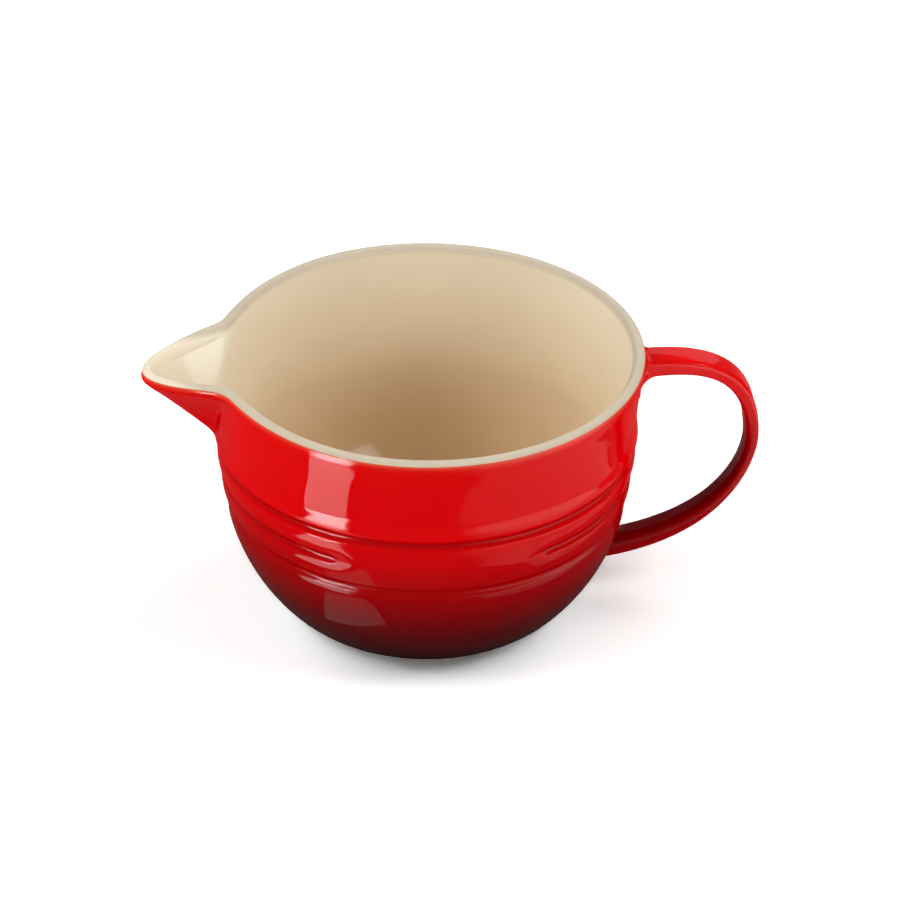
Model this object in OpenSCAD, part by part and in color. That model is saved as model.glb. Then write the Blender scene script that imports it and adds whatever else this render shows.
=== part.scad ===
// Batter bowl: glazed stoneware bowl with a pouring spout and a strap handle.
// Millimetres. The origin is on the table under the bowl's axis, +Z is up,
// +X points to the handle and -X to the spout.

/* [Bowl] */
// Diameter of the rim, where the red glaze meets the cream
rim_d = 190; // [180:1:200]
// Height of the glaze line at the rim above the table
rim_z = 125.8; // [120:0.2:132]
// Rise of the rounded rim above the glaze line
crown_h = 1.4; // [1:0.1:2]
// Width of the rounded rim
crown_w = 5.8; // [5:0.1:6.6]
// How far the waist under the flared rim lies inside the rim
waist_in = 3.35; // [2.6:0.05:4.2]
// Drop from the glaze line to the waist
waist_drop = 31; // [27:0.5:34]
// How far the swell above the first groove lies inside the rim
swell_in = 3; // [2.4:0.1:3.6]
// Drop from the waist to the swell
swell_gap = 6.5; // [5:0.5:8]
// How far the round lower body lies inside the rim
belly_in = 5.5; // [4.5:0.1:6.5]
// Drop from the glaze line to the level of the lower body's centre
belly_drop = 55.2; // [50:0.2:60]
// How far the lower body's curve would reach under the table
belly_under = 18.9; // [15:0.1:22]
// Thickness of the wall at mid height, with its glaze
wall_t = 5; // [4.4:0.1:5.6]
// Thickness of the floor under the middle, with its glaze
floor_t = 6; // [5:0.1:8]
// Thickness of each coat of glaze
glaze_t = 0.5; // [0.3:0.1:0.7]

/* [Grooves] */
// Drop from the swell to the first groove
groove_gap = 4.2; // [3.4:0.1:5]
// Spacing of the three grooves
groove_pitch = 13.1; // [12:0.1:13.4]
// Radius of a groove's rounded bottom
groove_r = 2.6; // [2.2:0.1:3]
// Depth of a groove
groove_depth = 1.2; // [0.9:0.1:1.5]
// Arc of the plain band that interrupts the middle groove, in degrees
plain_arc = 62; // [40:1:80]

/* [Foot] */
// How far the foot ring lies inside the place where the belly turns in
foot_in = 15.15; // [12:0.05:18]
// Width of the foot ring
foot_w = 6; // [5:0.2:8]
// Height of the bare clay at the foot
foot_bare_h = 1.8; // [1.4:0.1:2.4]
// Depth of the recess inside the foot ring
recess_h = 3.6; // [3:0.1:4.4]
// Height at which the belly turns in to the foot
turn_z = 12; // [10:0.5:14]

/* [Spout] */
// Reach of the spout's tip beyond the rim
spout_len = 28.5; // [24:0.5:34]
// Radius of the spout's rounded nose in plan
nose_r = 12.35; // [10:0.1:14]
// Drop of the spout's tip below the glaze line
tip_drop = 4.6; // [2:0.2:7]
// Height of the spout's keel above the first groove, where it meets the wall
keel_gap = 4.5; // [4:0.1:10]
// Thickness of the spout's lip at the tip, with its glaze
lip_t = 4.5; // [3.8:0.1:5.5]
// Thickness of the spout's keel measured upright, with its glaze
keel_t = 8; // [7:0.1:9]

/* [Handle] */
// Width of the strap, with its glaze
strap_w = 14; // [11:0.5:17]
// Thickness of the strap at its upper root
root_t = 8.6; // [7:0.1:10]
// Thickness of the strap over the top
top_t = 6.6; // [5.6:0.1:8]
// Thickness of the strap below the bend
bend_t = 5; // [4.4:0.1:6.5]
// Thickness of the strap at its lower root
foot_t = 8.6; // [7:0.1:10]
// Reach of the strap's centre beyond the rim
handle_len = 48.45; // [40:0.05:58]
// Drop from the glaze line to the strap's centre at the upper root
upper_drop = 11.35; // [10.5:0.05:14]
// Drop from the glaze line to the strap's outermost point
reach_drop = 48.4; // [42:0.1:54]
// Height of the strap's centre above the table at the lower root
lower_rise = 21.95; // [19:0.05:26]
// Slope of the strap as it leaves the lower root, in degrees
lower_slope = 2.8; // [0:0.1:8]
// Thickness of the slip that joins the clay pieces
slip_t = 1; // [0.6:0.1:1.4]

/* [Hidden] */
$fn = 96;

// Colours of the clay and of the two glazes
clay_colour = "#d9c7ae";
red_colour = "#cf1010";
deep_red_colour = "#4a0a0a";
cream_colour = "#e2d6bb";

// Steps along the outline's stretches
turn_steps = 8;
wall_steps = 12;
groove_steps = 8;
band_steps = 3;
belly_steps = 16;
crown_steps = 10;
inside_steps = 26;
groove_sides = 32;

// Length by which a cut runs past what it cuts
overrun = 4;

rim_r = rim_d / 2;
waist_r = rim_r - waist_in;
swell_r = rim_r - swell_in;
belly_r = rim_r - belly_in;
belly_z = rim_z - belly_drop;
swell_drop = waist_drop + swell_gap;
groove_drop = swell_drop + groove_gap;
spout_reach = rim_r + spout_len;
keel_drop = groove_drop - keel_gap;
handle_reach = rim_r + handle_len;
groove_z = [for (i = [0:2]) rim_z - groove_drop - i * groove_pitch];
// The wall meets the belly's arc just under the lowest groove
shoulder_z = groove_z[2] - groove_r;

// Radius of the belly's arc at a height, and how fast it grows there
belly_h = belly_z + belly_under;
function belly_at(z) = belly_r * sqrt(1 - pow((belly_z - z) / belly_h, 2));
function belly_slope(z) = pow(belly_r / belly_h, 2) * (belly_z - z) / belly_at(z);

// Shape exponents: the rim's flare, the band's fullness, the inside's squareness
flare_share = 1.55;
band_share = 1.35;
bowl_share = 2.8;
// Where the turn's control point sits between the belly and the foot
turn_share = 0.75;
// Where the crest of the rim and of the lip sits between its outer and inner edge
crest_share = 0.58;

waist_z = rim_z - waist_drop;
swell_z = rim_z - swell_drop;

// Outer radius of the wall above the belly's arc, without the grooves
function wall_at(z) =
    z > waist_z ? waist_r + (rim_r - waist_r) * pow((z - waist_z) / waist_drop, flare_share) :
    z > swell_z ? waist_r + (swell_r - waist_r) * (1 - cos(180 * (waist_z - z) / (waist_z - swell_z))) / 2 :
    swell_r - (swell_r - belly_at(shoulder_z)) * pow((swell_z - z) / (swell_z - shoulder_z), band_share);

// Point on a curve with one or two control points
function bend3(a, b, c, t) = (1 - t) * (1 - t) * a + 2 * t * (1 - t) * b + t * t * c;
function bend4(a, b, c, d, t) =
    pow(1 - t, 3) * a + 3 * t * pow(1 - t, 2) * b + 3 * t * t * (1 - t) * c + pow(t, 3) * d;

// The outline from the foot up to the glaze line
turn_top = [belly_at(turn_z), turn_z];
foot_r = turn_top[0] - foot_in;
turn_end = [foot_r, foot_bare_h];
turn_fall = turn_share * (turn_z - foot_bare_h);
turn_mid = turn_top - turn_fall * [belly_slope(turn_z), 1];
turn_points = [for (i = [0:turn_steps - 1]) bend3(turn_end, turn_mid, turn_top, i / turn_steps)];
belly_points = [for (i = [0:belly_steps])
    let (z = turn_z + (shoulder_z - turn_z) * i / belly_steps) [belly_at(z), z]];
// The lowest and the highest groove are in the outline, the middle one is cut later
groove_half = sqrt(2 * groove_r * groove_depth - groove_depth * groove_depth);
function groove_axis(z) = wall_at(z) + groove_r - groove_depth;
function groove_levels(z) = [for (i = [0:groove_steps]) z + groove_half * (2 * i / groove_steps - 1)];
function band_levels(a, b, steps) = [for (i = [1:steps]) a + (b - a) * i / (steps + 1)];
function groove_stretch(z) = [for (h = groove_levels(z))
    [groove_axis(z) - sqrt(groove_r * groove_r - (h - z) * (h - z)), h]];
function wall_stretch(levels) = [for (z = levels) [wall_at(z), z]];
wall_points = concat(
    groove_stretch(groove_z[2]),
    wall_stretch(band_levels(groove_z[2] + groove_half, groove_z[0] - groove_half, 2 * band_steps + 1)),
    groove_stretch(groove_z[0]),
    wall_stretch(band_levels(groove_z[0] + groove_half, rim_z, wall_steps)),
    [[rim_r, rim_z]]);
outer_points = concat(turn_points, belly_points, wall_points);
line_index = len(outer_points) - 1;

// The outline from the glaze line over the rim and down the inside to the axis
inside_top_r = rim_r - crown_w;
inside_mid_r = belly_r - wall_t;
floor_z = recess_h + floor_t;
crown_mid_r = rim_r - crown_w * crest_share;
crown_points = [for (i = [1:crown_steps])
    let (a = 180 * i / crown_steps, half = a < 90 ? rim_r - crown_mid_r : crown_mid_r - inside_top_r)
    [crown_mid_r + half * cos(a), rim_z + crown_h * sin(a)]];
function inside_at(z) = z > belly_z
    ? inside_mid_r + (inside_top_r - inside_mid_r) * (z - belly_z) / (rim_z - belly_z)
    : inside_mid_r * pow(1 - pow((belly_z - z) / (belly_z - floor_z), bowl_share), 1 / bowl_share);
inside_points = [for (i = [1:inside_steps])
    let (z = belly_z + (rim_z - belly_z) * (1 - i / inside_steps)) if (z > belly_z) [inside_at(z), z]];
basin_points = [for (i = [0:inside_steps])
    let (a = 90 * i / inside_steps, z = belly_z - (belly_z - floor_z) * sin(a))
    [i == inside_steps ? 0 : inside_at(z), z]];
skin = concat(outer_points, crown_points, inside_points, basin_points);

// An outline moved along its normals by d, outwards where d is above zero
function normal_of(p, i) =
    let (a = p[max(i - 1, 0)], b = p[min(i + 1, len(p) - 1)], t = (b - a) / norm(b - a)) [t[1], -t[0]];
function moved(p, d) = [for (i = [0:len(p) - 1])
    let (q = p[i] + d * normal_of(p, i)) [i == len(p) - 1 ? 0 : q[0], q[1]]];
function part_of(p, a, b) = [for (i = [a:b]) p[i]];
function reversed(p) = [for (i = [len(p) - 1:-1:0]) p[i]];

clay_skin = moved(skin, -glaze_t);
last = len(skin) - 1;

// The middle groove: a ring whose bottom has the radius r, broken over the plain band
module middle_groove(r) {
    rotate([0, 0, plain_arc / 2 - 90])
        rotate_extrude(angle = 360 - plain_arc)
            translate([groove_axis(groove_z[1]), groove_z[1]])
                circle(r, $fn = groove_sides);
}

// The spout is a row of straight ribs: each runs from the V that is cut in the wall
// up to the lip, which is a parabola in plan. u runs from -1 to 1 across the spout.
spout_steps = 24;
function spout_u(i) = 2 * i / spout_steps - 1;
// Where a parabola with its nose at reach crosses a circle about the axis
function cross_y(reach, nose, r) =
    let (b = 2 * (reach - nose), s = (b - sqrt(b * b - 4 * (reach * reach - r * r))) / 2) sqrt(2 * nose * s);
function lip_point(u, reach, nose, r, z) =
    let (y = u * cross_y(reach, nose, r), s = y * y / (2 * nose))
    [-(reach - s), y, z];
// Height of the lip's edge: it droops from the root to the tip
function lip_z(u) = rim_z - tip_drop * (1 - u * u);
// A rounded V from 0 at the keel to 1 at the root
keel_share = 0.12;
function vee_rise(u) = sqrt(u * u + keel_share * keel_share) - keel_share;
function vee(u) = vee_rise(u) / vee_rise(1);

// The edges of one rib, on the glazed surface: outer and inner foot on the wall,
// outer and inner edge of the lip
wall_outer_half = cross_y(spout_reach, nose_r, rim_r);
trough_reach = spout_reach - lip_t;
// Share of the lip's thickness by which the nose is sharper inside
nose_share = 0.75;
trough_nose_r = nose_r - nose_share * lip_t;
wall_inner_half = cross_y(trough_reach, trough_nose_r, inside_top_r);
keel_slope = (keel_drop - tip_drop) / (spout_reach - wall_at(rim_z - keel_drop));
trough_drop = keel_drop + keel_slope * wall_t - keel_t;
// Depth of the cut's square shoulders under the glaze line
shoulder_drop = 2;
function on_wall(u, half, drop, inside) =
    let (y = u * half, z = rim_z - shoulder_drop - (drop - shoulder_drop) * (1 - vee(u)),
         r = inside ? inside_at(z) : wall_at(z))
    [-sqrt(r * r - y * y), y, z];
function rib_edges(u) = [
    on_wall(u, wall_outer_half, keel_drop, false),
    lip_point(u, spout_reach, nose_r, rim_r, lip_z(u)),
    lip_point(u, trough_reach, trough_nose_r, inside_top_r, lip_z(u)),
    on_wall(u, wall_inner_half, trough_drop, true)];
function step(a, b, d) = a + d * (b - a) / norm(b - a);
// The same four edges on the clay, one coat of glaze further in
function clay_edges(e) = [
    step(e[0], e[3], glaze_t), step(e[1], e[2], glaze_t),
    step(e[2], e[1], glaze_t), step(e[3], e[0], glaze_t)];
// The rounded crest of the lip, from its outer edge to its inner edge
crest_steps = 8;
function crest(a, b, h) = [for (i = [1:crest_steps - 1])
    let (t = 180 * i / crest_steps, m = a + crest_share * (b - a), half = t < 90 ? a - m : m - b)
    m + half * cos(t) + [0, 0, h * sin(t)]];

function outer_slip(c) = step(c[0], c[1], slip_t);
function inner_slip(c) = step(c[3], c[2], slip_t);
function clay_rib(e) = let (c = clay_edges(e))
    concat([outer_slip(c), c[1]], crest(c[1], c[2], crown_h - glaze_t), [c[2], inner_slip(c)]);
function slip_rib(e) = let (c = clay_edges(e)) [c[0], outer_slip(c), inner_slip(c), c[3]];
function red_rib(e) = let (c = clay_edges(e)) [e[0], e[1], c[1], outer_slip(c), c[0]];
function cream_rib(e) = let (c = clay_edges(e))
    concat([e[1]], crest(e[1], e[2], crown_h), [e[2], e[3], c[3], inner_slip(c), c[2]],
           reversed(crest(c[1], c[2], crown_h - glaze_t)), [c[1]]);
cut_top_z = rim_z + crown_h + overrun;
function cut_rib(e) = let (a = step(e[0], e[3], -overrun), b = step(e[3], e[0], -overrun))
    [a, [a[0], a[1], cut_top_z], [b[0], b[1], cut_top_z], b];

// A closed solid through a row of rings that have the same number of points. Each
// four-sided patch is split along its shorter diagonal, so touching solids match.
module loft(rings) {
    n = len(rings[0]);
    m = len(rings);
    sides = [for (i = [0:m - 2], j = [0:n - 1])
        let (k = (j + 1) % n, a = i * n + j, b = i * n + k, c = b + n, d = a + n,
             split_ac = norm(rings[i][j] - rings[i + 1][k]) < norm(rings[i][k] - rings[i + 1][j]))
        each split_ac ? [[a, c, b], [a, d, c]] : [[a, d, b], [b, d, c]]];
    caps = [[for (j = [0:n - 1]) j], [for (j = [n - 1:-1:0]) (m - 1) * n + j]];
    polyhedron([for (ring = rings) each ring], concat(sides, caps), convexity = 6);
}

rib_list = [for (i = [0:spout_steps]) rib_edges(spout_u(i))];

module spout_cut() {
    loft([for (e = rib_list) cut_rib(e)]);
}

// The strap's centre line: two bends that meet at the outermost point
handle_steps = 22;
root_sink = 10;
upper_z = rim_z - upper_drop;
lower_z = lower_rise;
reach_z = rim_z - reach_drop;
upper_start = [wall_at(upper_z) - root_sink, upper_z];
lower_start = [belly_at(lower_z) - root_sink, lower_z - root_sink * tan(lower_slope)];
reach_point = [handle_reach, reach_z];
span = handle_reach - wall_at(upper_z);
// How far the strap runs straight on at its upper root, over the top, under the
// outermost point and at its lower root
root_pull_share = 0.393;
top_pull_share = 0.927;
bend_pull_share = 0.257;
foot_pull_share = 1.335;
function centre(t) = t < 1
    ? bend4(upper_start, upper_start + [root_pull_share * span, 0],
            reach_point + [0, top_pull_share * span], reach_point, t)
    : bend4(reach_point, reach_point - [0, bend_pull_share * span],
            lower_start + foot_pull_share * span * [cos(lower_slope), sin(lower_slope)], lower_start, t - 1);
// Thickness along the strap, from four named values
function strap_t(t) =
    let (marks = [root_t, top_t, bend_t, foot_t], spans = len(marks) - 1,
         s = t * spans / 2, k = min(floor(s), spans - 1), f = s - k)
    marks[k] + (marks[k + 1] - marks[k]) * (1 - cos(180 * f)) / 2;
// How much the strap flares where it meets the wall
flare_w = 3;
flare_end_share = 0.224;
function flare(t) = let (d = min(t, 2 - t) / flare_end_share) d < 1 ? flare_w * (1 - d) * (1 - d) : 0;
// A rounded rectangle in the plane across the strap
corner_steps = 5;
corner_share = 0.8;
slope_step = 0.01;
function strap_ring(t, inset) =
    let (c = centre(t), d = centre(min(t + slope_step, 2)) - centre(max(t - slope_step, 0)),
         n = [-d[1], d[0]] / norm(d), w = strap_w / 2 + flare(t) - inset,
         h = strap_t(t) / 2 + flare(t) / 2 - inset, r = corner_share * h)
    [for (q = [0:3], i = [0:corner_steps - 1])
        let (a = 90 * (q + i / (corner_steps - 1)),
             y = (q == 0 || q == 3 ? 1 : -1) * (w - r) + r * cos(a),
             s = (q < 2 ? 1 : -1) * (h - r) + r * sin(a))
        [c[0] + s * n[0], y, c[1] + s * n[1]]];
module strap(inset) {
    loft([for (i = [0:2 * handle_steps]) strap_ring(i / handle_steps, inset)]);
}

module turned(points) {
    rotate_extrude()
        polygon(points);
}
// The bowl filled up solid, d larger than its clay
module clay_solid(d) {
    p = moved(skin, d - glaze_t);
    turned(concat([[0, p[0][1]]], part_of(p, 0, line_index), [[0, p[line_index][1]]]));
}

foot_clay_r = clay_skin[0][0];
foot_inner_r = foot_r - foot_w;
foot_chamfer = 0.8;
module bowl_body() {
    color(clay_colour)
        difference() {
            turned(concat(clay_skin, [
                [0, recess_h], [foot_inner_r - foot_chamfer, recess_h], [foot_inner_r, 0],
                [foot_clay_r - foot_chamfer, 0], [foot_clay_r, foot_chamfer]]));
            middle_groove(groove_r + glaze_t);
            spout_cut();
        }
}

module outer_glaze() {
    color(red_colour)
        difference() {
            turned(concat(part_of(skin, 0, line_index), reversed(part_of(clay_skin, 0, line_index))));
            middle_groove(groove_r);
            spout_cut();
            strap(0);
        }
    color(red_colour)
        intersection() {
            difference() {
                middle_groove(groove_r + glaze_t);
                middle_groove(groove_r);
            }
            clay_solid(0);
        }
}

module inner_glaze() {
    color(cream_colour)
        difference() {
            turned(concat(part_of(skin, line_index, last), reversed(part_of(clay_skin, line_index, last))));
            spout_cut();
        }
}

module base_glaze() {
    color(deep_red_colour)
        translate([0, 0, recess_h - glaze_t])
            cylinder(r = foot_inner_r - 2 * foot_chamfer, h = glaze_t);
}

module spout() {
    color(clay_colour)
        loft([for (e = rib_list) clay_rib(e)]);
}

module spout_slip() {
    color(clay_colour)
        loft([for (e = rib_list) slip_rib(e)]);
}

module spout_glaze() {
    color(red_colour)
        loft([for (e = rib_list) red_rib(e)]);
}

module spout_lining() {
    color(cream_colour)
        loft([for (e = rib_list) cream_rib(e)]);
}

module handle() {
    color(clay_colour)
        difference() {
            strap(glaze_t);
            clay_solid(slip_t);
        }
}

module handle_slip() {
    color(clay_colour)
        intersection() {
            strap(glaze_t);
            difference() {
                clay_solid(slip_t);
                clay_solid(0);
            }
        }
}

module handle_glaze() {
    color(red_colour)
        difference() {
            strap(0);
            strap(glaze_t);
            clay_solid(0);
        }
}

bowl_body();
spout();
spout_slip();
handle();
handle_slip();
outer_glaze();
spout_glaze();
handle_glaze();
inner_glaze();
spout_lining();
base_glaze();
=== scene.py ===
"""Batter bowl: glazed stoneware, red outside and cream inside, with a pouring spout and a strap handle."""
import math

import bpy
import numpy as np
from mathutils import Matrix, Vector


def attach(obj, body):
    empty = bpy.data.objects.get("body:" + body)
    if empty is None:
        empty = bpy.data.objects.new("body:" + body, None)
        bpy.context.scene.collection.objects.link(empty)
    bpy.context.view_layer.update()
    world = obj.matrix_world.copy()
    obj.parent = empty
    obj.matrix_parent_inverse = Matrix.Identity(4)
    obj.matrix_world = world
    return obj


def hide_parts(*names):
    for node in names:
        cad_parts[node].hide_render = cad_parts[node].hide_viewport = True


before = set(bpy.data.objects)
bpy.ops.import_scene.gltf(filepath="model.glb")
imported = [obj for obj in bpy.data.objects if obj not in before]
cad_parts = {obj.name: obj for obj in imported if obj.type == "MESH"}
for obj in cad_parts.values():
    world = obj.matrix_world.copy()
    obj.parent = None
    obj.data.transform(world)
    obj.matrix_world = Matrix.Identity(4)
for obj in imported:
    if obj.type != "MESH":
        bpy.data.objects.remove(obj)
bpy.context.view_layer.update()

MM = 0.001

# Bowl, in millimetres, with heights above the table
RIM_R = 95.0
RIM_Z = 125.8
CROWN_H = 1.4
CROWN_W = 5.8
CROWN_FALL = 0.9
LIP_FALL = 3.0
EDGE_ROUND = 0.95
EDGE_DROP = 4.5
ROLL_OUT = 0.35
ROLL_DROP = 12.0
CREST_SHARE = 0.58
CREST_START = 25.0
WAIST_R = 91.65
WAIST_Z = RIM_Z - 31.0
SWELL_R = 92.4
SWELL_Z = RIM_Z - 37.5
BELLY_R = 89.5
BELLY_Z = 70.6
WALL_T = 5.0
FLOOR_Z = 9.6
FLARE_SHARE = 1.55
BAND_SHARE = 1.35
BOWL_SHARE = 2.8

# Three grooves, of which the middle one stops short of the plain band in front
GROOVE_BELOW = 41.7
GROOVE_PITCH = 13.1
GROOVE_Z = [RIM_Z - GROOVE_BELOW - step * GROOVE_PITCH for step in range(3)]
GROOVE_DEPTH = 0.8
GROOVE_HALF = 3.2
BAND_CREST = 1.0
BAND_MERGE = 14.0
VALLEY_ABOVE = 4.2
VALLEY_BELOW = 8.0
PLAIN_ARC = 62.0
SHOULDER_DROP = 2.6
SHOULDER_Z = GROOVE_Z[2] - SHOULDER_DROP

# Foot: the belly turns in to a bare ring of clay round a recess
TURN_Z = 12.0
TURN_SHARE = 0.75
FOOT_R = 52.5
FOOT_W = 6.0
FOOT_EDGE = 0.8
BARE_Z = 1.8
RECESS_Z = 3.6
RECESS_ROUND = 1.0

# Glaze: its thickness, how far the bare clay reaches into it, and the height over which its upper edge turns
# paler, from thinner glaze and a painted highlight
GLAZE_T = 0.5
GLAZE_LAP = 0.05
PALE_EDGE_FALL = 0.65

# Spout: its lip is a parabola in plan, its keel runs down to the wall
SPOUT_REACH = 123.5
NOSE_R = 12.35
TIP_DROP = 4.6
DROOP_LEN = 28.5
DROOP_SOFT = 0.01
KEEL_Z = RIM_Z - 37.2
KEEL_END = 6.0
NOSE_FADE = 14.0
KEEL_FADE = 40.0
NOSE_FACE = 3.2
FACE_SOFT = 1.0
LIP_T = 4.5
TROUGH_NOSE_R = 8.98
TROUGH_Z = RIM_Z - 34.3
ROOT_BLEND = 5.1
KEEL_BLEND = 2.0
BLEND_FADE = 16.0
THROAT_BLEND = 5.0
PINCH = 2.2
PINCH_ANGLE = 55.0
PINCH_FADE = 25.0
SPOUT_TURN = 1.2

# Angle from the spout, in radians and just under a quarter turn, up to which its parabola is worked out
SPOUT_SIDE = 1.5

# Handle: a strap, 14 mm wide, along two bends that meet at its outermost point
STRAP_W = 14.0
STRAP_T = [8.6, 6.6, 5.0, 8.6]
HANDLE_REACH = 143.45
UPPER_Z = RIM_Z - 11.35
REACH_Z = RIM_Z - 48.4
LOWER_Z = 21.95
LOWER_SLOPE = 2.8
CURVE_SINK = 10.0
ROOT_PULL = 0.393
TOP_PULL = 0.927
BEND_PULL = 0.257
FOOT_PULL = 1.335
ROOT_SINK = 3.0
FILLET_TOP = 3.0
FILLET_SIDE = 3.5
FILLET_UNDER = 8.0

# Edges of the strap, rounded by so much across it and through it, and more inside its lower bend
EDGE = [1.8, 1.6]
INNER_EDGE = [5.0, 3.2]
EDGE_LIMIT = 1.1
# Heights below which the strap's inner side is fully rounder and fully painted with shade, and above which it
# is neither
INNER_FULL_Z = 70.0
INNER_NONE_Z = 108.0

# Mesh: columns round the bowl in degrees, closer together across the spout
PLAIN_STEP = 1.0
SPOUT_STEP = 0.32
SPOUT_ANGLE = 32.0
FOOT_STEP = 1.5

# Mesh: rows along the outline, level up to LEVEL_TOP and following the lip above it
LEVEL_TOP = RIM_Z - 37.0
GROOVES_FROM = GROOVE_Z[2] - 5.0
EDGE_ROWS = 5
TURN_ROWS = 11
BELLY_ROWS = 26
GROOVE_ROWS = 76
LIP_ROWS = 61
OUTER_CROWDING = 1.3
INNER_CROWDING = 1.2
CREST_ROWS = 14
WALL_ROWS = 8
BASIN_ROWS = 70

# Mesh: the strap's rows from root to bend, round the bend and on to the lower root, the points of one
# corner, and the step along the centre line that gives its direction
ROOT_TRIES = 801
BEND_FROM = 0.5
BEND_TO = 1.5
ROOT_ROWS = 70
BEND_ROWS = 90
CORNER_POINTS = 7
STEP_ALONG = 0.004

# Camera, in degrees, with the point it looks at in millimetres and its distance in metres: worked out
# from the rim, the grooves and the outline in the photograph
CAMERA_TURN = -6.0
CAMERA_RISE = 32.05
CAMERA_ROLL = 0.49
CAMERA_AWAY = 2.0
AIM_SIDE = 10.37
AIM_Z = 75.39
LENS = 182.4
SENSOR = 36.0

# Floor and background: the paper's colour for bounced light and for rays that show it, and the
# distances in metres from where to where it starts to glow for those rays
PAPER = 0.8
SEEN_PAPER = 1.5
FADE_NEAR = 0.35
FADE_FAR = 1.2
FLOOR_REACH = 6.0

# Softboxes in a ring round the bowl: direction and rise in degrees, and radiance
SOFTBOXES = {"left_softbox": (-165, 40, 6.4), "front_left_softbox": (-130, 40, 1.6),
             "front_softbox": (-95, 14, 3.8), "right_softbox": (-20, 40, 7.6),
             "back_right_softbox": (30, 40, 4.5), "back_left_softbox": (150, 40, 4.5)}
SOFTBOX_AWAY = 1.3
SOFTBOX_SIZE = (0.6, 0.6)
BOWL_MIDDLE = (0, 0, 0.06)

# Lights on the floor that show only in the gloss, a bright window in front at the left and a wide soft
# one in front at the right: direction, near and far end, width, radiance and turn
FLOOR_PANELS = {"window_under": (-127, 0.084, 0.138, 0.042, 4.5, -10),
                "window_near": (-141, 0.15, 0.27, 0.075, 40.0, 0),
                "window_middle": (-141, 0.272, 0.45, 0.115, 200.0, 0),
                "window_far": (-141, 0.452, 0.80, 0.200, 200.0, 0),
                "wide_near": (-38, 0.15, 0.268, 0.30, 4.0, 0),
                "wide_core": (-47, 0.14, 0.268, 0.14, 5.0, 0),
                "wide_far": (-38, 0.27, 0.90, 0.50, 16.0, 0)}
PANEL_Z = 0.004

# Lights in the air that show only in the gloss: direction, rise, size and radiance
GLOSS_LAMPS = {"key_gloss": (-48, 43, (0.3, 0.4), 50.0), "handle_gloss": (72, 22, (0.8, 0.5), 4.5)}

# Glaze colours from the table upwards: height in millimetres and sRGB colour. The darkening low down in the
# red and in the strap's red is painted shade, and the strap's red is lighter low down than the body's as
# painted bounce light
RED_AND_SHADE_STOPS = [(0, "#1a0202"), (14, "#300102"), (30, "#560002"), (43, "#7d0002"), (55, "#9c0003"),
             (72, "#c50003"), (86, "#d80003"), (110, "#dc0003"), (125.8, "#de0203")]
STRAP_LIGHT_AND_SHADE_STOPS = [(0, "#a20003"), (20, "#a20003"), (40, "#ba0003"), (70, "#cc0003"), (86, "#d80003"),
               (125.8, "#de0203")]
CREAM_STOPS = [(0, "#d4b58f"), (30, "#d4b58f"), (45, "#d8bd98"), (60, "#dcc6a5"), (85, "#e4d3b5"),
               (118, "#ede1c7"), (124, "#ede1c7"), (125.6, "#cdc0aa")]
CLAY_STOPS = [(0, "#b89f80"), (4, "#c4ac8c")]

# Places of another colour: the mark that a mesh carries there, the colour and its weight. The grooves are
# darker from pooled glaze and painted shade, the red's upper edge is paler from thinner glaze and a painted
# highlight, and the strap's inner face is darker as painted shade
RED_ACCENTS = [("groove", "#a00002", 0.8), ("edge", "#d87050", 1.0)]
STRAP_ACCENTS = [("inner_face_painted_shade", "#4a0002", 0.75)]

# Optics of the glassy coat, and the size in millimetres of the faint clouds in every colour
GLASS_IOR = 1.5
COAT_ROUGHNESS = 0.03
CLOUD_SIZE = 11.11
CLOUD_DETAIL = 2.0

# Small numbers that keep divisions and blends away from zero
TINY = 1e-6
TINIER = 1e-9


def soft_max(a, b, blend):
    """The larger of two radii, with the corner where they cross rounded over."""
    return (a + b + np.sqrt((a - b) ** 2 + blend ** 2)) / 2


def fade(x):
    """Smooth fall from 1 at 0 to 0 at 1 and beyond."""
    x = np.clip(x, 0, 1)
    return 1 - x * x * (3 - 2 * x)


def belly_radius(z):
    """Outer radius of the round lower body at a height."""
    return np.sqrt(BELLY_R ** 2 - (BELLY_Z - z) ** 2)


def wall_radius(z):
    """Outer radius of the bowl at a height, without grooves and spout."""
    flare = np.clip((z - WAIST_Z) / (RIM_Z - WAIST_Z), 0, 1)
    above = WAIST_R + (RIM_R - WAIST_R) * flare ** FLARE_SHARE
    dip = np.clip((WAIST_Z - z) / (WAIST_Z - SWELL_Z), 0, 1)
    middle = WAIST_R + (SWELL_R - WAIST_R) * (1 - np.cos(np.pi * dip)) / 2
    fall = np.clip((SWELL_Z - z) / (SWELL_Z - SHOULDER_Z), 0, 1)
    below = SWELL_R - (SWELL_R - belly_radius(SHOULDER_Z)) * fall ** BAND_SHARE
    belly = belly_radius(np.minimum(z, SHOULDER_Z))
    return np.where(z > WAIST_Z, above, np.where(z > SWELL_Z, middle, np.where(z > SHOULDER_Z, below, belly)))


def past_groove_end(angle):
    """How far, in mm, a place lies inside the plain band in front, where the middle groove stops."""
    front = np.abs((angle + math.pi / 2 + np.pi) % (2 * np.pi) - np.pi)
    return np.clip(math.radians(PLAIN_ARC / 2) - front, 0, None) * RIM_R


def groove_share(z, angle):
    """How deep in the three grooves; the middle one has rounded ends at the plain band."""
    depth = 0
    for number, level in enumerate(GROOVE_Z):
        away = np.abs(z - level) + 0 * angle
        if number == 1:
            away = np.hypot(away, past_groove_end(angle))
        share = np.clip(away / GROOVE_HALF, 0, 1)
        depth = depth + (1 - share ** 2) ** 2
    return depth


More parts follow.
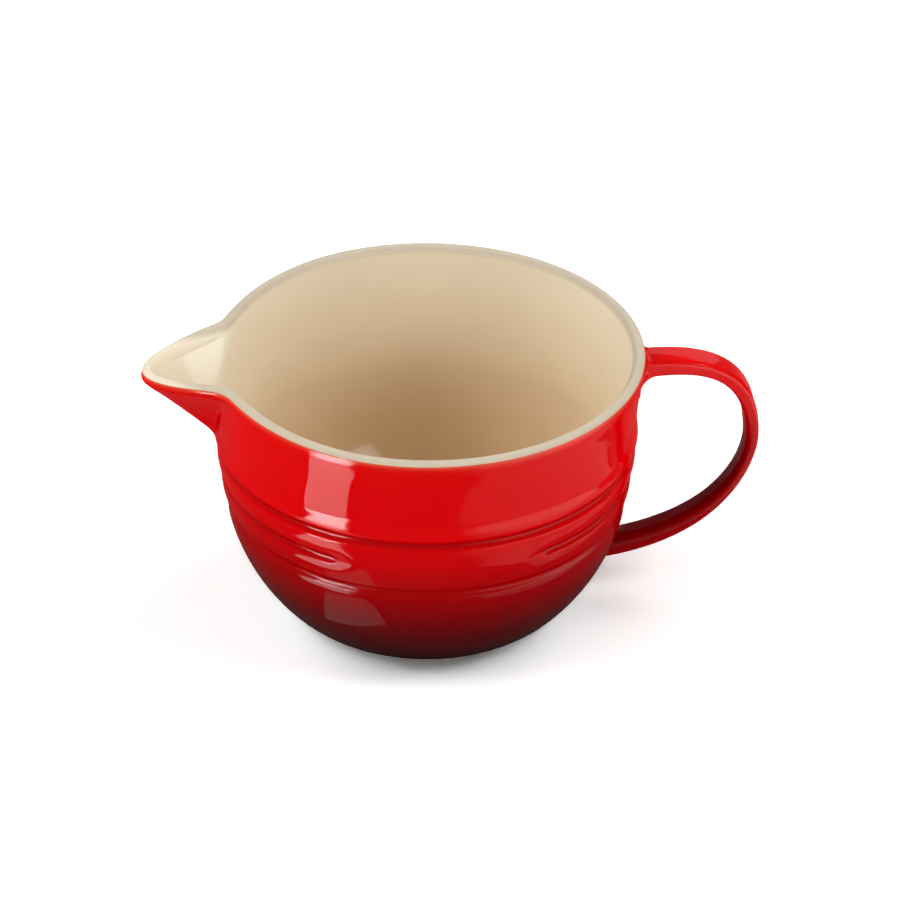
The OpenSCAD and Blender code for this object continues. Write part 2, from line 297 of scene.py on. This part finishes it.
def groove_depth(z, angle):
    """Depth below the wall: the grooves, and the valleys beside two bands, or beside one in front."""
    between = np.clip((GROOVE_Z[0] - z) / (GROOVE_Z[0] - GROOVE_Z[2]), 0, 1)
    two_bands = fade(past_groove_end(angle) / BAND_MERGE)
    crest = two_bands * np.abs(np.sin(2 * np.pi * between)) + (1 - two_bands) * np.sin(np.pi * between)
    valley = (1 - crest) * fade((z - GROOVE_Z[0]) / VALLEY_ABOVE) * fade((GROOVE_Z[2] - z) / VALLEY_BELOW)
    return GROOVE_DEPTH * groove_share(z, angle) + BAND_CREST * valley


def parabola_radius(angle, reach, nose):
    """Distance from the axis to a parabola whose nose points at angle 0, on the spout's side only."""
    angle = np.clip(angle, -SPOUT_SIDE, SPOUT_SIDE)
    across = np.maximum(np.sin(angle) ** 2, TINIER)
    ahead = np.cos(angle)
    root = np.sqrt((nose * ahead) ** 2 + 2 * nose * reach * across)
    return np.where(across > TINY, (root - nose * ahead) / across, reach)


def pinch(angle, depth):
    """How far the rim is drawn in on both sides of the spout."""
    return PINCH * np.exp(-(np.abs(angle) / math.radians(PINCH_ANGLE)) ** 4) * fade(depth / PINCH_FADE)


def lip_curve(angle, reach, nose, rim, blend):
    """Plan radius of one edge of the lip all round: rim circle and spout in one smooth line."""
    ahead = np.clip(np.cos(angle), 0, 1)
    spout = parabola_radius(angle, reach, nose)
    return np.where(ahead > 0, soft_max(rim - pinch(angle, 0 * angle), spout, blend * ahead ** 2), rim)


def lip_height(angle):
    """Height of the glaze line: level round the rim and drooping along the spout."""
    radius = lip_curve(angle, SPOUT_REACH, NOSE_R, RIM_R, ROOT_BLEND)
    along = 1 - (SPOUT_REACH - radius * np.cos(angle)) / DROOP_LEN
    return RIM_Z - TIP_DROP * (along + np.sqrt(along ** 2 + DROOP_SOFT)) / 2


def inner_fall(angle):
    """How far the crest's inner side is rounded down: a little at the rim, far more inside the spout."""
    return CROWN_FALL + (LIP_FALL - CROWN_FALL) * fade(np.abs(angle) / math.radians(SPOUT_ANGLE))


def spout_section(depth, keel_len, reach, keel_reach, nose, face):
    """Reach and nose radius of the spout's plan section: an upright face under the lip, then the keel."""
    start = (np.sqrt(face ** 2 + FACE_SOFT) - face) / 2
    past = (depth - face + np.sqrt((depth - face) ** 2 + FACE_SOFT)) / 2 - start
    section_reach = reach - (reach - keel_reach) * past / (keel_len - face - start)
    section_nose = nose * np.exp(-past / NOSE_FADE - (past / KEEL_FADE) ** 2)
    return section_reach, section_nose


def edge_round(depth):
    """How far rim and lip are drawn in at a depth: rounded over at the glaze line, swelling below it."""
    roll = ROLL_OUT * fade((depth - EDGE_DROP) / (ROLL_DROP - EDGE_DROP))
    return EDGE_ROUND * np.clip(1 - depth / EDGE_DROP, 0, 1) ** 2 - roll


def with_spout(wall, spout, blend, angle, below_end):
    """Wall and spout joined with a soft corner on the spout's side, until a little below the spout's end."""
    near = np.clip(np.cos(angle), 0, 1) ** 2 * fade(below_end / KEEL_END)
    return np.where(near > 0, soft_max(wall, spout, blend * np.maximum(near, TINY)), wall)


def outer_radius(z, angle):
    """Outer radius of bowl and spout together."""
    depth = np.maximum(lip_height(angle) - z, 0)
    wall = wall_radius(z) - groove_depth(z, angle) - pinch(angle, RIM_Z - z)
    keel_len = RIM_Z - TIP_DROP - KEEL_Z
    reach, nose = spout_section(depth, keel_len, SPOUT_REACH, wall_radius(KEEL_Z), NOSE_R, NOSE_FACE)
    spout = parabola_radius(angle, reach, nose)
    blend = KEEL_BLEND + (ROOT_BLEND - KEEL_BLEND) * np.exp(-(depth / BLEND_FADE) ** 2)
    return with_spout(wall, spout, blend, angle, KEEL_Z - z) - edge_round(depth)


def inside_radius(z):
    """Inner radius of the bowl at a height, without the trough."""
    upper = BELLY_R - WALL_T + (RIM_R - CROWN_W - BELLY_R + WALL_T) * (z - BELLY_Z) / (RIM_Z - BELLY_Z)
    sunk = np.clip((BELLY_Z - z) / (BELLY_Z - FLOOR_Z), 0, 1)
    lower = (BELLY_R - WALL_T) * (1 - sunk ** BOWL_SHARE) ** (1 / BOWL_SHARE)
    return np.where(z > BELLY_Z, upper, lower)


def cavity_radius(z, angle):
    """Inner radius of bowl and trough together."""
    depth = np.maximum(lip_height(angle) - z, 0)
    wall = inside_radius(z) - pinch(angle, RIM_Z - z)
    keel_len = RIM_Z - TIP_DROP - TROUGH_Z
    lip_reach = SPOUT_REACH - LIP_T
    reach, nose = spout_section(depth, keel_len, lip_reach, inside_radius(TROUGH_Z), TROUGH_NOSE_R, 0)
    trough = parabola_radius(angle, reach, nose)
    return with_spout(wall, trough, THROAT_BLEND, angle, TROUGH_Z - z)


def around():
    """Angles of the mesh columns from the spout, close together across the spout."""
    near = np.arange(-SPOUT_ANGLE, SPOUT_ANGLE, SPOUT_STEP)
    far = np.arange(SPOUT_ANGLE, 360 - SPOUT_ANGLE, PLAIN_STEP)
    return np.radians(np.concatenate([near, np.where(far > 180, far - 360, far)]))


def placed(radius, angle, z):
    """Points in metres: angle 0 is the spout, a quarter turn on is the back."""
    turned = angle + math.radians(SPOUT_TURN)
    return np.stack([-radius * np.cos(turned), radius * np.sin(turned), z + 0 * angle], axis=-1) * MM


def mark(piece, name, rows):
    """Gives every point of a mesh a share from 0 to 1 that its material reads."""
    values = np.array(rows).ravel()
    piece.data.attributes.new(name, "FLOAT", "POINT").data.foreach_set("value", values)


def sheet_mesh(name, grid, pole=False):
    """A smooth mesh from closed rows of points; with a pole the last row shrinks to one point."""
    rows, columns = grid.shape[:2]
    points = grid.reshape(-1, 3)
    across = np.arange(columns)
    after = (across + 1) % columns
    quads = []
    for row in range(rows - 1):
        low, high = row * columns, (row + 1) * columns
        quads += np.stack([low + across, high + across, high + after, low + after], axis=-1).tolist()
    if pole:
        last = (rows - 1) * columns
        points = np.concatenate([points, grid[-1].mean(axis=0, keepdims=True)])
        quads += [[last + here, len(points) - 1, last + there] for here, there in zip(across, after)]
    mesh = bpy.data.meshes.new(name)
    mesh.from_pydata(points.tolist(), [], quads)
    mesh.polygons.foreach_set("use_smooth", [True] * len(mesh.polygons))
    mesh.update()
    piece = bpy.data.objects.new(name, mesh)
    bpy.context.scene.collection.objects.link(piece)
    return piece


def foot_turn():
    """Radius and height of points from the glaze's rolled edge at the foot up to the belly."""
    turn_top = np.array([belly_radius(TURN_Z), TURN_Z])
    turn_end = np.array([FOOT_R, BARE_Z])
    fall = TURN_SHARE * (TURN_Z - BARE_Z)
    turn_mid = turn_top - fall * np.array([(BELLY_Z - TURN_Z) / belly_radius(TURN_Z), 1])
    points = []
    for roll in np.linspace(-90, 0, EDGE_ROWS)[:-1]:
        lean = math.radians(roll)
        points.append((FOOT_R - GLAZE_T + GLAZE_T * math.cos(lean), BARE_Z + GLAZE_T * math.sin(lean)))
    for t in np.linspace(0, 1, TURN_ROWS)[:-1]:
        points.append((1 - t) ** 2 * turn_end + 2 * t * (1 - t) * turn_mid + t * t * turn_top)
    return points


def red_coat():
    """Red glaze on the outside of bowl and spout, from the rolled edge at the foot to the glaze line."""
    angle = around()
    lip = lip_height(angle)
    rows = []
    grooves = []
    edges = []

    def add_row(radius, z):
        rows.append(placed(radius + 0 * angle, angle, z))
        # Marks for the darker grooves, from pooled glaze and painted shade, and for the paler upper edge,
        # from thinner glaze and a painted highlight
        grooves.append(groove_share(z, angle))
        edges.append(np.exp((z - lip) / PALE_EDGE_FALL))

    for radius, z in foot_turn():
        add_row(radius, z)
    for z in np.concatenate([np.linspace(TURN_Z, GROOVES_FROM, BELLY_ROWS)[:-1],
                             np.linspace(GROOVES_FROM, LEVEL_TOP, GROOVE_ROWS)[:-1]]):
        add_row(outer_radius(z, angle), z)
    for t in np.linspace(0, 1, LIP_ROWS):
        z = LEVEL_TOP + (lip - LEVEL_TOP) * (1 - (1 - t) ** OUTER_CROWDING)
        add_row(outer_radius(z, angle), z)
    made = sheet_mesh("red_glaze_coat", np.array(rows))
    mark(made, "groove", grooves)
    mark(made, "edge", edges)
    return made


def crest_rows(angle):
    """Rows over the rounded crest of rim and lip, from the glaze line outside to the inner wall."""
    lip = lip_height(angle)
    fall = inner_fall(angle)
    outer = outer_radius(lip, angle)
    middle = outer + (cavity_radius(lip, angle) - outer) * CREST_SHARE
    inner_edge = cavity_radius(lip - fall, angle)
    start = math.radians(CREST_START)
    rows = []
    for turn in np.linspace(CREST_START, 180, CREST_ROWS):
        lean = math.radians(turn)
        if turn < 90:
            radius = middle + (outer - middle) * math.cos(lean) / math.cos(start)
            rise = CROWN_H * (math.sin(lean) - math.sin(start)) / (1 - math.sin(start))
        else:
            radius = middle + (middle - inner_edge) * math.cos(lean)
            rise = CROWN_H - (CROWN_H + fall) * math.cos(lean) ** 2
        rows.append(placed(radius, angle, lip + rise))
    return rows


def cream_coat():
    """Cream glaze over the rim and the lip, down the trough and over the whole inside."""
    angle = around()
    rows = crest_rows(angle)
    top = lip_height(angle) - inner_fall(angle)
    for t in np.linspace(0, 1, LIP_ROWS)[1:]:
        z = top + (LEVEL_TOP - top) * t ** INNER_CROWDING
        rows.append(placed(cavity_radius(z, angle), angle, z))
    for z in np.linspace(LEVEL_TOP, BELLY_Z, WALL_ROWS)[1:-1]:
        rows.append(placed(cavity_radius(z, angle), angle, z))
    for turn in np.linspace(0, 90, BASIN_ROWS)[:-1]:
        z = BELLY_Z - (BELLY_Z - FLOOR_Z) * math.sin(math.radians(turn))
        rows.append(placed(inside_radius(z) + 0 * angle, angle, z))
    return sheet_mesh("cream_glaze_coat", np.array(rows), pole=True)


def foot_ring():
    """Bare clay ring that the bowl stands on, from the recess inside it to under the red glaze."""
    angle = np.radians(np.arange(0, 360, FOOT_STEP))
    inner = FOOT_R - FOOT_W
    outline = [(inner - 4 * FOOT_EDGE, RECESS_Z),
               (inner - FOOT_EDGE, RECESS_Z),
               (inner - FOOT_EDGE / 2, RECESS_Z - RECESS_ROUND),
               (inner, FOOT_EDGE / 2),
               (inner + FOOT_EDGE / 2, 0),
               (FOOT_R - 2 * FOOT_EDGE, 0),
               (FOOT_R - GLAZE_T - FOOT_EDGE / 2, FOOT_EDGE / 4),
               (FOOT_R - GLAZE_T, FOOT_EDGE),
               (FOOT_R - GLAZE_T + GLAZE_LAP, BARE_Z + FOOT_EDGE / 2)]
    rows = [placed(radius + 0 * angle, angle, z) for radius, z in outline]
    return sheet_mesh("foot_ring", np.array(rows))


def bend(points, t):
    """Point on a curve with two control points, as in part.scad."""
    a, b, c, d = [np.array(p, dtype=float) for p in points]
    return (1 - t) ** 3 * a + 3 * t * (1 - t) ** 2 * b + 3 * t * t * (1 - t) * c + t ** 3 * d


def strap_centre(t):
    """Centre line of the strap in the XZ plane, t from 0 at the upper root to 2 at the lower."""
    span = HANDLE_REACH - wall_radius(UPPER_Z)
    slope = np.array([math.cos(math.radians(LOWER_SLOPE)), math.sin(math.radians(LOWER_SLOPE))])
    upper = np.array([wall_radius(UPPER_Z) - CURVE_SINK, UPPER_Z])
    lower = np.array([belly_radius(LOWER_Z) - CURVE_SINK,
                      LOWER_Z - CURVE_SINK * math.tan(math.radians(LOWER_SLOPE))])
    reach = np.array([HANDLE_REACH, REACH_Z])
    if t < 1:
        return bend([upper, upper + [ROOT_PULL * span, 0], reach + [0, TOP_PULL * span], reach], t)
    return bend([reach, reach - [0, BEND_PULL * span], lower + FOOT_PULL * span * slope, lower], t - 1)


def strap_thickness(t):
    """Thickness at t, eased from one value of STRAP_T to the next."""
    spans = len(STRAP_T) - 1
    here = min(t * spans / 2, spans - TINY)
    k = int(here)
    return STRAP_T[k] + (STRAP_T[k + 1] - STRAP_T[k]) * (1 - math.cos(math.pi * (here - k))) / 2


def strap_steps():
    """Places of the strap's rows, which start and end a little inside the wall."""
    centres = [(t, *strap_centre(t)) for t in np.linspace(0, 2, ROOT_TRIES)]
    clear = [t for t, x, z in centres if x > wall_radius(z) - ROOT_SINK]
    return np.concatenate([np.linspace(clear[0], BEND_FROM, ROOT_ROWS)[:-1],
                           np.linspace(BEND_FROM, BEND_TO, BEND_ROWS)[:-1],
                           np.linspace(BEND_TO, clear[-1], ROOT_ROWS)])


def low_on_strap(z):
    """1 low on the strap, where its inner side is rounder and carries painted shade, and 0 high up."""
    return float(fade((z - INNER_FULL_Z) / (INNER_NONE_Z - INNER_FULL_Z)))


def fillet_spread(gap, size):
    """How far the strap spreads at a gap from the wall, in a round fillet of a size."""
    if gap >= size:
        return 0
    return size - math.sqrt(size ** 2 - (size - max(gap, 0)) ** 2)


def strap_ring(t):
    """Points round the strap at one place along it, and how much painted shade lies on its inner face."""
    centre = strap_centre(t)
    along = strap_centre(min(t + STEP_ALONG, 2)) - strap_centre(max(t - STEP_ALONG, 0))
    along = along / np.linalg.norm(along)
    up = np.array([-along[1], along[0]])
    half_w, half_t = STRAP_W / 2, strap_thickness(t) / 2
    ring = []
    shadow = []
    for quarter in range(4):
        side = 1 if quarter in (0, 3) else -1
        face = 1 if quarter < 2 else -1
        soft = 0.0 if face > 0 else low_on_strap(centre[1])
        round_y = EDGE[0] + (INNER_EDGE[0] - EDGE[0]) * soft
        round_s = min(EDGE[1] + (INNER_EDGE[1] - EDGE[1]) * soft, half_t * EDGE_LIMIT)
        for lean in np.linspace(0, 90, CORNER_POINTS):
            turn = math.radians(90 * quarter + lean)
            sideways, vertical = math.cos(turn), math.sin(turn)
            if t < 1:
                reach = FILLET_UNDER if vertical < 0 else FILLET_TOP
            else:
                reach = FILLET_TOP if vertical < 0 else 0
            y = side * (half_w - round_y) + round_y * sideways
            s = face * (half_t - round_s) + round_s * vertical
            x, z = centre + s * up
            gap = math.hypot(x, y) - float(wall_radius(z + reach * vertical * up[1]))
            spread = fillet_spread(gap, FILLET_SIDE * abs(sideways) + reach * abs(vertical))
            y += spread * sideways
            x, z = centre + (s + spread * vertical) * up
            # No point lies deeper in the wall than this, so that no end shows inside the bowl
            deepest = float(wall_radius(z)) - ROOT_SINK
            x = max(x, math.sqrt(deepest ** 2 - y ** 2))
            ring.append([x, y, z])
            # Painted shade on the inner face, deeper low on the strap
            shadow.append((0.5 - s / half_t / 2) * low_on_strap(z))
    return np.array(ring) * MM, np.clip(shadow, 0, 1)


def strap_handle():
    """The strap with its rounded edges, spreading in fillets where it meets the wall."""
    rings, shadows = zip(*[strap_ring(t) for t in strap_steps()])
    made = sheet_mesh("strap_handle", np.array(rings))
    # The mark carries the painted shade on the inner face
    mark(made, "inner_face_painted_shade", shadows)
    return made


def srgb(colour):
    """Linear colour from an sRGB hex value."""
    channels = [int(colour[i:i + 2], 16) / 255 for i in (1, 3, 5)]
    return [c / 12.92 if c <= 0.04045 else ((c + 0.055) / 1.055) ** 2.4 for c in channels] + [1.0]


def node(tree, kind, links=None, **settings):
    """Adds a node: settings are its properties, links go from input name or number to value or socket."""
    made = tree.nodes.new(kind)
    for name, value in settings.items():
        setattr(made, name, value)
    for name, value in (links or {}).items():
        socket = made.inputs[name]
        if isinstance(value, bpy.types.NodeSocket):
            tree.links.new(value, socket)
        else:
            socket.default_value = value
    return made


def empty_tree(owner):
    """Node tree of a new material or world, with nothing in it."""
    owner.use_nodes = True
    owner.node_tree.nodes.clear()
    return owner.node_tree


def height_colour(tree, place, stops):
    """Colour that runs with height through the stops."""
    split = node(tree, "ShaderNodeSeparateXYZ", {"Vector": place})
    level = node(tree, "ShaderNodeMapRange",
                 {"Value": split.outputs["Z"], "From Min": 0.0, "From Max": RIM_Z * MM})
    ramp = node(tree, "ShaderNodeValToRGB", {"Fac": level.outputs["Result"]})
    ends = ramp.color_ramp.elements
    for end, (height, colour) in [(ends[0], stops[0]), (ends[1], stops[-1])]:
        end.position = height / RIM_Z
        end.color = srgb(colour)
    for height, colour in stops[1:-1]:
        ends.new(height / RIM_Z).color = srgb(colour)
    return ramp.outputs["Color"]


def glazed(name, stops, roughness, speckle, specular, coat, accents=()):
    """Stoneware whose colour runs with height and is faintly clouded, with a clear glassy coat.
    Accents are marked places of another colour. A Mix node in colour mode has its two colours
    at inputs 6 and 7 and the result at output 2."""
    material = bpy.data.materials.new(name)
    tree = empty_tree(material)
    place = node(tree, "ShaderNodeTexCoord").outputs["Object"]
    colour = height_colour(tree, place, stops)
    for found, accent, weight in accents:
        marked = node(tree, "ShaderNodeAttribute", attribute_name=found)
        share = node(tree, "ShaderNodeMath", {0: marked.outputs["Fac"], 1: weight}, operation="MULTIPLY")
        blend = node(tree, "ShaderNodeMix", {"Factor": share.outputs[0], 6: colour, 7: srgb(accent)},
                     data_type="RGBA")
        colour = blend.outputs[2]
    cloud = node(tree, "ShaderNodeTexNoise",
                 {"Vector": place, "Scale": 1 / (CLOUD_SIZE * MM), "Detail": CLOUD_DETAIL})
    tone = node(tree, "ShaderNodeMapRange",
                {"Value": cloud.outputs["Fac"], "To Min": 1 - speckle, "To Max": 1 + speckle})
    shade = node(tree, "ShaderNodeVectorMath", {0: colour, "Scale": tone.outputs["Result"]},
                 operation="SCALE")
    shader = node(tree, "ShaderNodeBsdfPrincipled",
                  {"Base Color": shade.outputs["Vector"], "Roughness": roughness, "IOR": GLASS_IOR,
                   "Specular IOR Level": specular, "Coat Weight": coat,
                   "Coat Roughness": COAT_ROUGHNESS, "Coat IOR": GLASS_IOR})
    node(tree, "ShaderNodeOutputMaterial", {"Surface": shader.outputs["BSDF"]})
    return material


def seen_share(tree):
    """1 for rays that show the background: straight, mirrored or refracted to the camera."""
    rays = node(tree, "ShaderNodeLightPath")
    share = rays.outputs["Is Camera Ray"]
    for kind in ["Is Glossy Ray", "Is Transmission Ray"]:
        both = node(tree, "ShaderNodeMath", {0: share, 1: rays.outputs[kind]}, operation="MAXIMUM")
        share = both.outputs[0]
    return share


def place_camera():
    """Camera at the photograph's angle, rolled a little about its line of sight."""
    turn, rise, roll = [math.radians(angle) for angle in (CAMERA_TURN, CAMERA_RISE, CAMERA_ROLL)]
    aim = Vector((AIM_SIDE * math.cos(turn), AIM_SIDE * math.sin(turn), AIM_Z)) * MM
    back = Vector((math.sin(turn) * math.cos(rise), -math.cos(turn) * math.cos(rise), math.sin(rise)))
    right = Vector((math.cos(turn), math.sin(turn), 0))
    up = back.cross(right)
    rolled_right = right * math.cos(roll) + up * math.sin(roll)
    rolled_up = up * math.cos(roll) - right * math.sin(roll)
    camera = bpy.data.objects.new("camera", bpy.data.cameras.new("camera"))
    camera.data.sensor_width = SENSOR
    camera.data.lens = LENS
    facing = Matrix((rolled_right, rolled_up, back)).transposed().to_4x4()
    camera.matrix_world = Matrix.Translation(aim + back * CAMERA_AWAY) @ facing
    bpy.context.scene.collection.objects.link(camera)
    bpy.context.scene.camera = camera


def white_paper():
    """Matte white paper: it keeps the bowl's shadow near it and is plain white far away."""
    material = bpy.data.materials.new("white_paper_floor")
    tree = empty_tree(material)
    seen = seen_share(tree)
    white = node(tree, "ShaderNodeMapRange", {"Value": seen, "To Min": PAPER, "To Max": SEEN_PAPER})
    matte = node(tree, "ShaderNodeBsdfDiffuse", {"Color": white.outputs[0]})
    place = node(tree, "ShaderNodeTexCoord")
    away = node(tree, "ShaderNodeVectorMath", {0: place.outputs["Object"]}, operation="LENGTH")
    far = node(tree, "ShaderNodeMapRange",
               {"Value": away.outputs["Value"], "From Min": FADE_NEAR, "From Max": FADE_FAR})
    lift = node(tree, "ShaderNodeMath", {0: seen, 1: far.outputs[0]}, operation="MULTIPLY")
    glow = node(tree, "ShaderNodeEmission", {"Color": (1, 1, 1, 1), "Strength": lift.outputs[0]})
    both = node(tree, "ShaderNodeAddShader", {0: matte.outputs[0], 1: glow.outputs[0]})
    node(tree, "ShaderNodeOutputMaterial", {"Surface": both.outputs[0]})
    return material


def lay_floor():
    """Square of paper that the bowl stands on."""
    mesh = bpy.data.meshes.new("floor")
    corners = [(-1, -1), (1, -1), (1, 1), (-1, 1)]
    mesh.from_pydata([(x * FLOOR_REACH, y * FLOOR_REACH, 0) for x, y in corners], [], [(0, 1, 2, 3)])
    floor = bpy.data.objects.new("floor", mesh)
    bpy.context.scene.collection.objects.link(floor)
    mesh.materials.append(white_paper())


def surround():
    """World that is white for the rays that show it and gives no light of its own."""
    world = bpy.data.worlds.new("studio")
    tree = empty_tree(world)
    sky = node(tree, "ShaderNodeBackground", {"Color": (1, 1, 1, 1), "Strength": seen_share(tree)})
    node(tree, "ShaderNodeOutputWorld", {"Surface": sky.outputs[0]})
    bpy.context.scene.world = world


def softbox(name, direction, rise, away, size, radiance, aim=BOWL_MIDDLE, seen_in="matte"):
    """A rectangular light at a direction and a rise from the bowl, in degrees, that lights the
    matte body of the glaze or shows in its gloss, and that the camera doesn't see."""
    lamp = bpy.data.lights.new(name, "AREA")
    lamp.shape = "RECTANGLE"
    lamp.size, lamp.size_y = size
    lamp.energy = radiance * math.pi * size[0] * size[1]
    made = bpy.data.objects.new(name, lamp)
    turn, lean = math.radians(direction), math.radians(rise)
    out = Vector((math.cos(turn) * math.cos(lean), math.sin(turn) * math.cos(lean), math.sin(lean)))
    made.location = Vector(aim) + out * away
    made.rotation_mode = "QUATERNION"
    made.rotation_quaternion = out.to_track_quat("Z", "Y")
    made.visible_camera = False
    made.visible_diffuse = seen_in == "matte"
    made.visible_glossy = seen_in == "gloss"
    bpy.context.scene.collection.objects.link(made)
    return made


def floor_panel(name, direction, near, far, width, radiance, turn):
    """A light lying on the floor that only the gloss shows, from near to far along a direction."""
    size = (far - near, width)
    panel = softbox(name, direction, 0, (near + far) / 2, size, radiance, (0, 0, PANEL_Z), "gloss")
    panel.rotation_mode = "XYZ"
    panel.rotation_euler = (math.pi, 0, math.radians(direction + turn))


# Red glaze: strong clear red with sharp highlights. It grows near black towards the foot, which is painted
# shade, is darker in the grooves from pooled glaze and painted shade, and is paler in a line at its upper
# edge from thinner glaze and a painted highlight.
# The strap's copy of it runs from bright at the top to dark low down as painted light and shade. It is
# brighter low down than the body's, which is painted light bounced from the table, and darker inside its
# bend, which is painted shade
red_glaze = glazed("red_stoneware_glaze", RED_AND_SHADE_STOPS, roughness=0.5, speckle=0.02, specular=0.0,
                   coat=0.05, accents=RED_ACCENTS)
strap_glaze = glazed("red_strap_copy_painted_light_and_shade", STRAP_LIGHT_AND_SHADE_STOPS, roughness=0.5, speckle=0.02, specular=0.0,
                     coat=0.08, accents=STRAP_ACCENTS)

# Cream glaze: warm ivory, browner towards the floor of the bowl, greyer on the crest of the rim
cream_glaze = glazed("cream_stoneware_glaze", CREAM_STOPS, roughness=0.5, speckle=0.015, specular=0.0,
                     coat=0.05)

# Bare fired clay: dull sandy brown without a coat, the most clouded of the four
bare_clay = glazed("bare_fired_clay", CLAY_STOPS, roughness=0.75, speckle=0.08, specular=0.3, coat=0.0)

coat = red_coat()
lining = cream_coat()
ring = foot_ring()
handle = strap_handle()
for piece, material, slot in [(coat, red_glaze, "red_glaze"), (lining, cream_glaze, "cream_glaze"),
                              (ring, bare_clay, "clay"), (handle, strap_glaze, "red_glaze")]:
    piece.data.materials.append(material)
    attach(piece, "root")
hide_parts("outer_glaze", "spout_glaze", "spout", "spout_slip")
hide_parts("inner_glaze", "spout_lining")
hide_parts("bowl_body")
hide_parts("handle_glaze", "handle", "handle_slip")
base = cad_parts["base_glaze"]
for slot in base.material_slots:
    slot.material = cream_glaze

place_camera()
lay_floor()
surround()
for name, (direction, rise, radiance) in SOFTBOXES.items():
    softbox(name, direction, rise, SOFTBOX_AWAY, SOFTBOX_SIZE, radiance)
for name, panel in FLOOR_PANELS.items():
    floor_panel(name, *panel)
for name, (direction, rise, size, radiance) in GLOSS_LAMPS.items():
    softbox(name, direction, rise, SOFTBOX_AWAY, size, radiance, seen_in="gloss")

bpy.context.scene.view_settings.view_transform = "Standard"
